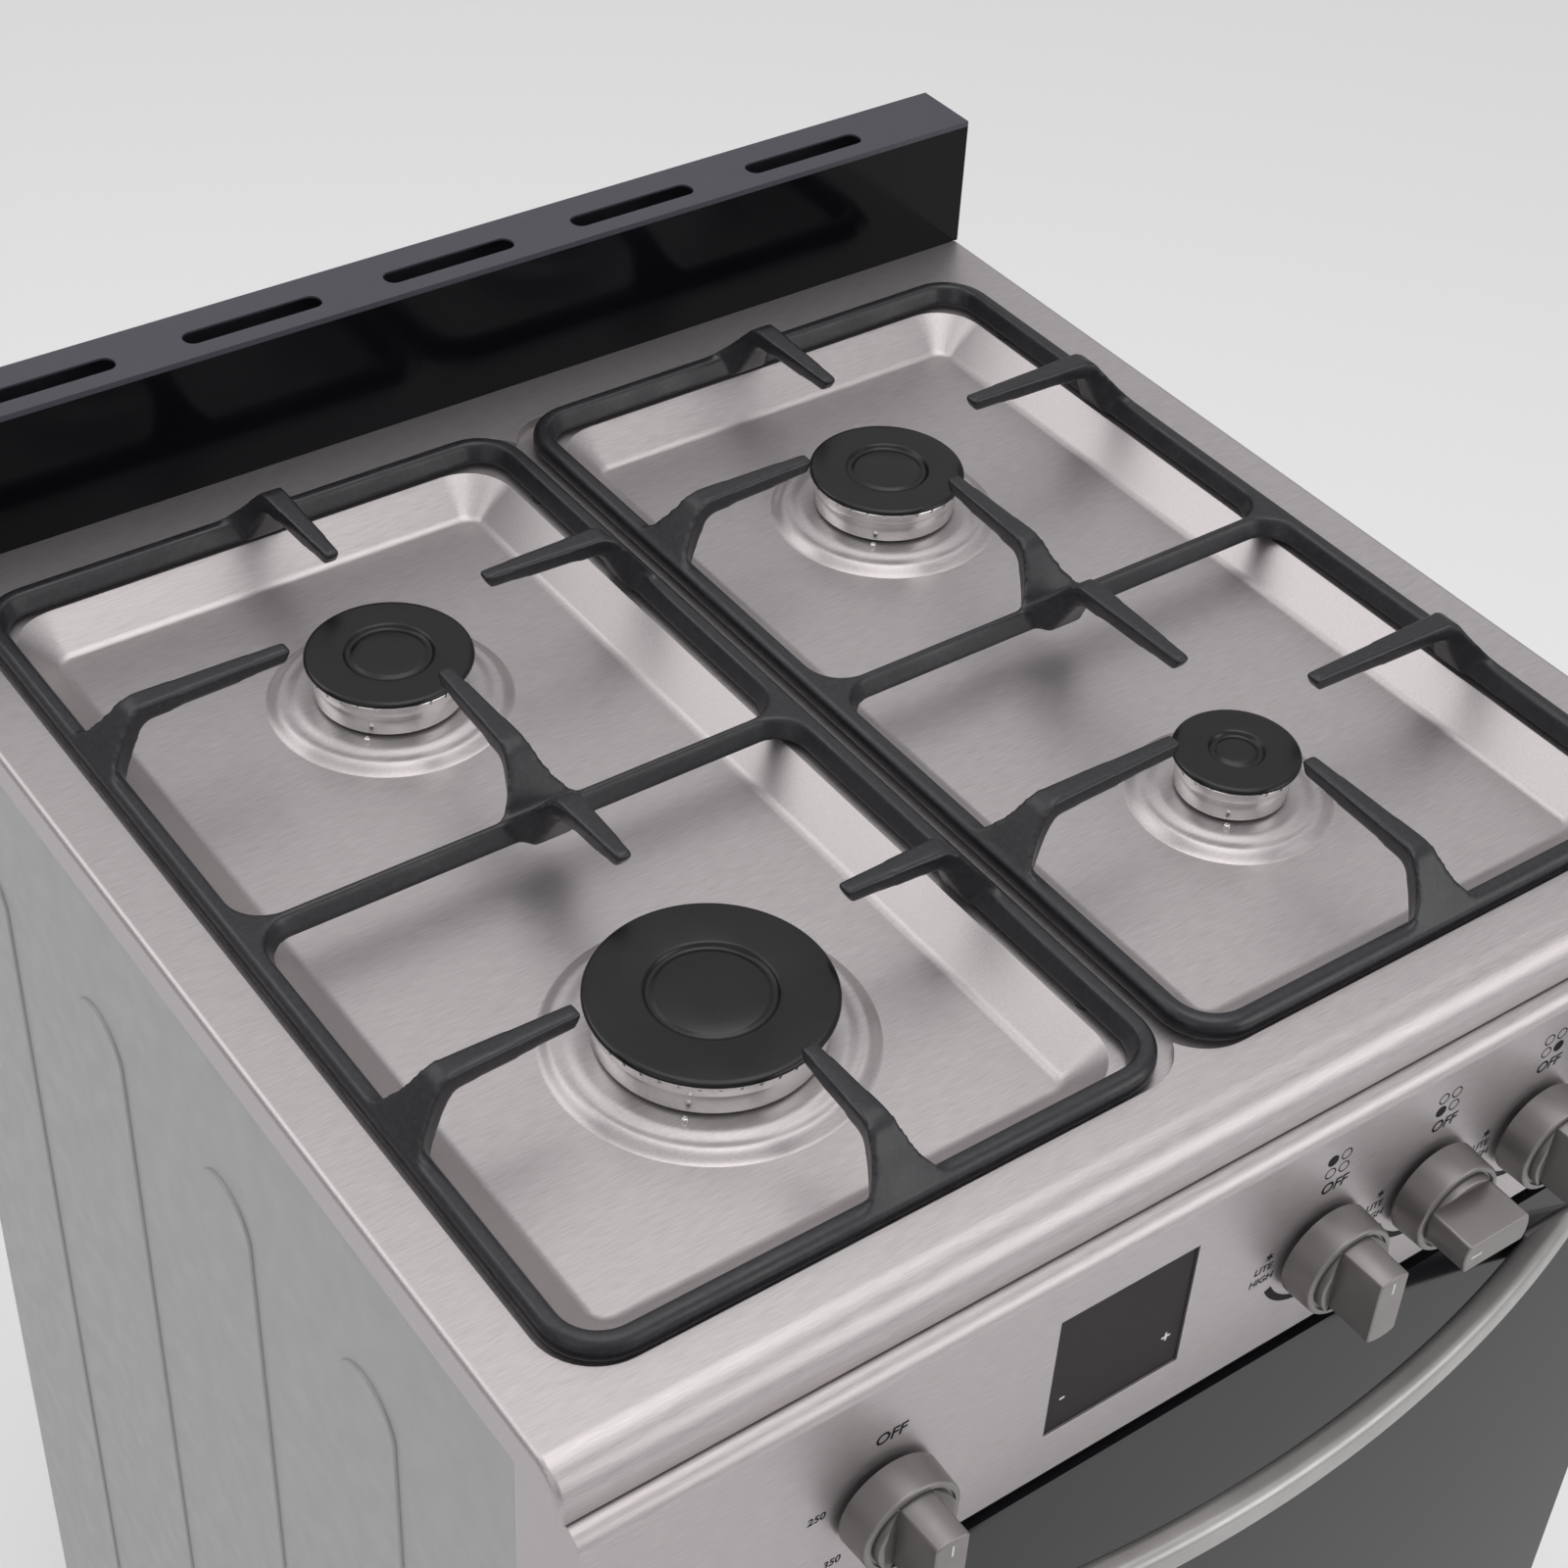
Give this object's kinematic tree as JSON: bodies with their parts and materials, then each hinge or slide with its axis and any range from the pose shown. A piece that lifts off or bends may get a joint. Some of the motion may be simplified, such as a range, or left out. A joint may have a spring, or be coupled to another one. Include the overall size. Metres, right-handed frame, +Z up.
{
  "type": "compact gas range",
  "caption": "Free-standing compact gas range with a stamped steel hob, cast pan supports, sealed burners, turn knobs, an oven with a drop-down door and a storage drawer.",
  "frame": {"origin": "on the floor under the middle of the whole object, handle and backguard included", "axes": "+Z up, -Y to the front where the knobs and the door are, +X to the right of someone facing the front"},
  "size_m": [0.606, 0.652, 0.984],
  "materials": {
    "stainless": "brushed along the width, satin",
    "side_paint": "satin grey paint",
    "zinc_steel": "dull galvanised sheet",
    "black_steel": "semi-matt black",
    "guard_steel": "matt dark grey paint",
    "black_glass": "gloss black printed glass",
    "door_glass": "dark tinted gloss glass",
    "clear_glass": "clear heat-resisting glass",
    "display": "dark brown-grey satin window",
    "cast_grate": "matt black enamel on a cast surface",
    "cap_enamel": "matt black enamel",
    "burner_alloy": "machined bright",
    "knob_satin": "satin grey metallic",
    "oven_enamel": "speckled dark grey enamel",
    "rack_chrome": "bright plated wire",
    "brass": "plain brass",
    "plain_steel": "plain steel",
    "rubber": "matt black rubber",
    "seal": "woven glass-fibre seal",
    "ceramic": "white glazed ceramic"
  },
  "bodies": {
    "cabinet": {"left_side_panel": "side_paint", "right_side_panel": "side_paint", "rear_cover": "zinc_steel", "base_pan": "zinc_steel", "levelling_feet": "rubber", "front_rails": "black_steel", "cooktop_deck": "stainless", "backguard_body": "guard_steel", "backguard_glass": "black_glass", "control_panel": "stainless", "display_window": "display", "gas_manifold": "plain_steel", "gas_inlet": "brass", "burner_valves": "brass", "oven_thermostat": "brass", "burner_supply_tubes": "burner_alloy", "burner_bases": "burner_alloy", "burner_heads": "burner_alloy", "igniter_electrodes": "ceramic", "spark_module": "black_steel", "oven_liner": "oven_enamel", "oven_floor": "oven_enamel", "oven_burner": "plain_steel", "oven_rack": "rack_chrome", "oven_lamp": "clear_glass", "flue_duct": "zinc_steel", "hinge_receivers": "plain_steel", "toe_kick": "black_steel", "drawer_runners": "zinc_steel"},
    "oven_door": {"door_glass": "door_glass", "door_frame": "black_steel", "door_inner_panel": "oven_enamel", "door_inner_glass": "clear_glass", "door_seal": "seal", "door_handle": "stainless", "handle_mounts": "stainless", "door_hinge_arms": "plain_steel"},
    "storage_drawer": {"drawer_front": "stainless", "drawer_box": "zinc_steel", "drawer_slides": "zinc_steel"},
    "left_grate": {"grate_left": "cast_grate", "grate_left_pads": "rubber"},
    "right_grate": {"grate_right": "cast_grate", "grate_right_pads": "rubber"},
    "cap_rear_left": {"burner_cap_rear_left": "cap_enamel"},
    "cap_rear_right": {"burner_cap_rear_right": "cap_enamel"},
    "cap_front_left": {"burner_cap_front_left": "cap_enamel"},
    "cap_front_right": {"burner_cap_front_right": "cap_enamel"},
    "stem_rear_left": {"valve_stem_rear_left": "plain_steel"},
    "dial_rear_left": {"knob_rear_left": "knob_satin"},
    "stem_front_left": {"valve_stem_front_left": "plain_steel"},
    "dial_front_left": {"knob_front_left": "knob_satin"},
    "stem_front_right": {"valve_stem_front_right": "plain_steel"},
    "dial_front_right": {"knob_front_right": "knob_satin"},
    "stem_rear_right": {"valve_stem_rear_right": "plain_steel"},
    "dial_rear_right": {"knob_rear_right": "knob_satin"},
    "stem_oven": {"valve_stem_oven": "plain_steel"},
    "dial_oven": {"knob_oven": "knob_satin"}
  },
  "joints": [
    {"name": "oven_door_hinge", "type": "hinge", "parent": "cabinet", "child": "oven_door", "pos_m": [0, -0.271, 0.296], "axis": [1, 0, 0], "range_deg": [0, 90], "stiffness_Nm_per_rad": 10, "springref_deg": -14.32},
    {"name": "storage_drawer_slide", "type": "slide", "parent": "cabinet", "child": "storage_drawer", "axis": [0, -1, 0], "range_m": [0, 0.3]},
    {"name": "left_grate_lift", "type": "slide", "parent": "cabinet", "child": "left_grate", "axis": [0, 0, 1], "range_m": [0, 0.08]},
    {"name": "right_grate_lift", "type": "slide", "parent": "cabinet", "child": "right_grate", "axis": [0, 0, 1], "range_m": [0, 0.08]},
    {"name": "cap_rear_left_lift", "type": "slide", "parent": "cabinet", "child": "cap_rear_left", "axis": [0, 0, 1], "range_m": [0, 0.03]},
    {"name": "cap_rear_right_lift", "type": "slide", "parent": "cabinet", "child": "cap_rear_right", "axis": [0, 0, 1], "range_m": [0, 0.03]},
    {"name": "cap_front_left_lift", "type": "slide", "parent": "cabinet", "child": "cap_front_left", "axis": [0, 0, 1], "range_m": [0, 0.03]},
    {"name": "cap_front_right_lift", "type": "slide", "parent": "cabinet", "child": "cap_front_right", "axis": [0, 0, 1], "range_m": [0, 0.03]},
    {"name": "knob_rear_left_push", "type": "slide", "parent": "cabinet", "child": "stem_rear_left", "axis": [0, 1, 0], "range_m": [0, 0.0025], "stiffness_N_per_m": 800, "springref_m": -0.002},
    {"name": "knob_rear_left_turn", "type": "hinge", "parent": "stem_rear_left", "child": "dial_rear_left", "pos_m": [0.048, -0.297, 0.819], "axis": [0, -1, 0], "range_deg": [0, 210]},
    {"name": "knob_front_left_push", "type": "slide", "parent": "cabinet", "child": "stem_front_left", "axis": [0, 1, 0], "range_m": [0, 0.0025], "stiffness_N_per_m": 800, "springref_m": -0.002},
    {"name": "knob_front_left_turn", "type": "hinge", "parent": "stem_front_left", "child": "dial_front_left", "pos_m": [0.1085, -0.297, 0.819], "axis": [0, -1, 0], "range_deg": [-90, 120]},
    {"name": "knob_front_right_push", "type": "slide", "parent": "cabinet", "child": "stem_front_right", "axis": [0, 1, 0], "range_m": [0, 0.0025], "stiffness_N_per_m": 800, "springref_m": -0.002},
    {"name": "knob_front_right_turn", "type": "hinge", "parent": "stem_front_right", "child": "dial_front_right", "pos_m": [0.169, -0.297, 0.819], "axis": [0, -1, 0], "range_deg": [0, 210]},
    {"name": "knob_rear_right_push", "type": "slide", "parent": "cabinet", "child": "stem_rear_right", "axis": [0, 1, 0], "range_m": [0, 0.0025], "stiffness_N_per_m": 800, "springref_m": -0.002},
    {"name": "knob_rear_right_turn", "type": "hinge", "parent": "stem_rear_right", "child": "dial_rear_right", "pos_m": [0.2295, -0.297, 0.819], "axis": [0, -1, 0], "range_deg": [0, 210]},
    {"name": "knob_oven_push", "type": "slide", "parent": "cabinet", "child": "stem_oven", "axis": [0, 1, 0], "range_m": [0, 0.0025], "stiffness_N_per_m": 800, "springref_m": -0.002},
    {"name": "knob_oven_turn", "type": "hinge", "parent": "stem_oven", "child": "dial_oven", "pos_m": [-0.169, -0.297, 0.819], "axis": [0, -1, 0], "range_deg": [0, 250]}
  ]
}
